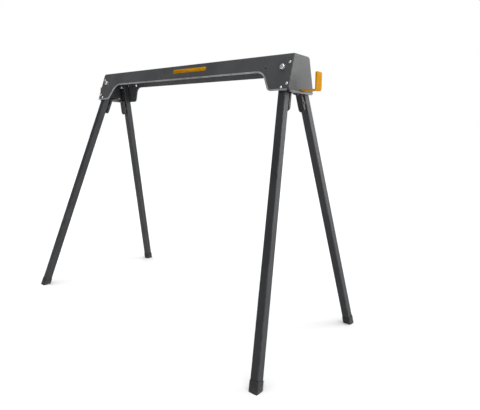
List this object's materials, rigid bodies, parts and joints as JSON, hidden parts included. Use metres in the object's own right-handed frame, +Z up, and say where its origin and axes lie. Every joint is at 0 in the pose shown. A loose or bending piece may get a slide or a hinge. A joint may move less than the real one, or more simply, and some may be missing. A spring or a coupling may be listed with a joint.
{
  "type": "folding sawhorse",
  "caption": "Folding steel sawhorse: splayed sheet-metal beam with end gussets, spring-locked fold-up square legs and slide-out hooked arms for timbers.",
  "frame": {"origin": "centre of the object's footprint, on the floor", "axes": "+X along the beam to the right end, +Y across the beam to the rear, +Z up"},
  "size_m": [0.9878, 0.4922, 0.78],
  "materials": {
    "beam_powder_coat": "satin charcoal powder coat, fine texture",
    "leg_powder_coat": "satin charcoal powder coat, fine texture",
    "lever_powder_coat": "near-black satin paint",
    "foot_rubber": "matt moulded rubber",
    "arm_yellow_paint": "satin amber-yellow paint",
    "nylon": "natural nylon",
    "spring_steel": "blued spring steel",
    "zinc_plate": "bright zinc plate"
  },
  "bodies": {
    "root": {"beam_channel": "beam_powder_coat", "end_plate_left": "beam_powder_coat", "end_plate_right": "beam_powder_coat", "end_plate_rivets": "zinc_plate", "arm_sleeve_left": "beam_powder_coat", "arm_sleeve_right": "beam_powder_coat", "pivot_bolts": "zinc_plate", "pivot_nuts": "zinc_plate", "pivot_washers": "zinc_plate", "pivot_spacers": "nylon"},
    "leg_front_left": {"leg_tube_front_left": "leg_powder_coat", "foot_cap_front_left": "foot_rubber", "lever_bracket_front_left": "leg_powder_coat", "lever_pin_front_left": "lever_powder_coat", "lock_spring_front_left": "spring_steel", "lock_button_front_left": "zinc_plate"},
    "lever_front_left": {"lock_lever_front_left": "lever_powder_coat"},
    "leg_front_right": {"leg_tube_front_right": "leg_powder_coat", "foot_cap_front_right": "foot_rubber", "lever_bracket_front_right": "leg_powder_coat", "lever_pin_front_right": "lever_powder_coat", "lock_spring_front_right": "spring_steel", "lock_button_front_right": "zinc_plate"},
    "lever_front_right": {"lock_lever_front_right": "lever_powder_coat"},
    "leg_rear_left": {"leg_tube_rear_left": "leg_powder_coat", "foot_cap_rear_left": "foot_rubber", "lever_bracket_rear_left": "leg_powder_coat", "lever_pin_rear_left": "lever_powder_coat", "lock_spring_rear_left": "spring_steel", "lock_button_rear_left": "zinc_plate"},
    "lever_rear_left": {"lock_lever_rear_left": "lever_powder_coat"},
    "leg_rear_right": {"leg_tube_rear_right": "leg_powder_coat", "foot_cap_rear_right": "foot_rubber", "lever_bracket_rear_right": "leg_powder_coat", "lever_pin_rear_right": "lever_powder_coat", "lock_spring_rear_right": "spring_steel", "lock_button_rear_right": "zinc_plate"},
    "lever_rear_right": {"lock_lever_rear_right": "lever_powder_coat"},
    "arm_left": {"support_arm_left": "arm_yellow_paint", "arm_stop_rivet_left": "zinc_plate"},
    "arm_right": {"support_arm_right": "arm_yellow_paint", "arm_stop_rivet_right": "zinc_plate"}
  },
  "joints": [
    {"name": "leg_fold_front_left", "type": "hinge", "parent": "root", "child": "leg_front_left", "pos_m": [-0.4, -0.03179, 0.7395], "axis": [0, -0.9648, 0.263], "range_deg": [0, 94.35], "deforming": ["lock_spring_front_left", "lock_button_front_left"]},
    {"name": "lever_squeeze_front_left", "type": "hinge", "parent": "leg_front_left", "child": "lever_front_left", "pos_m": [-0.40885, -0.03736, 0.65444], "axis": [-0.9944, 0.0277, 0.1017], "range_deg": [0, 11], "stiffness_Nm_per_rad": 0.4},
    {"name": "leg_fold_front_right", "type": "hinge", "parent": "root", "child": "leg_front_right", "pos_m": [0.4, -0.03179, 0.7395], "axis": [0, 0.9648, -0.263], "range_deg": [0, 97.75], "deforming": ["lock_spring_front_right", "lock_button_front_right"]},
    {"name": "lever_squeeze_front_right", "type": "hinge", "parent": "leg_front_right", "child": "lever_front_right", "pos_m": [0.40885, -0.03736, 0.65444], "axis": [-0.9944, -0.0277, -0.1017], "range_deg": [0, 11], "stiffness_Nm_per_rad": 0.4},
    {"name": "leg_fold_rear_left", "type": "hinge", "parent": "root", "child": "leg_rear_left", "pos_m": [-0.4, 0.03179, 0.7395], "axis": [0, -0.9648, -0.263], "range_deg": [0, 94.35], "deforming": ["lock_spring_rear_left", "lock_button_rear_left"]},
    {"name": "lever_squeeze_rear_left", "type": "hinge", "parent": "leg_rear_left", "child": "lever_rear_left", "pos_m": [-0.40885, 0.03736, 0.65444], "axis": [0.9944, 0.0277, -0.1017], "range_deg": [0, 11], "stiffness_Nm_per_rad": 0.4},
    {"name": "leg_fold_rear_right", "type": "hinge", "parent": "root", "child": "leg_rear_right", "pos_m": [0.4, 0.03179, 0.7395], "axis": [0, 0.9648, 0.263], "range_deg": [0, 97.75], "deforming": ["lock_spring_rear_right", "lock_button_rear_right"]},
    {"name": "lever_squeeze_rear_right", "type": "hinge", "parent": "leg_rear_right", "child": "lever_rear_right", "pos_m": [0.40885, 0.03736, 0.65444], "axis": [0.9944, -0.0277, 0.1017], "range_deg": [0, 11], "stiffness_Nm_per_rad": 0.4},
    {"name": "arm_slide_left", "type": "slide", "parent": "root", "child": "arm_left", "axis": [1, 0, 0], "range_m": [0, 0.037]},
    {"name": "arm_slide_right", "type": "slide", "parent": "root", "child": "arm_right", "axis": [-1, 0, 0], "range_m": [0, 0.037]}
  ]
}
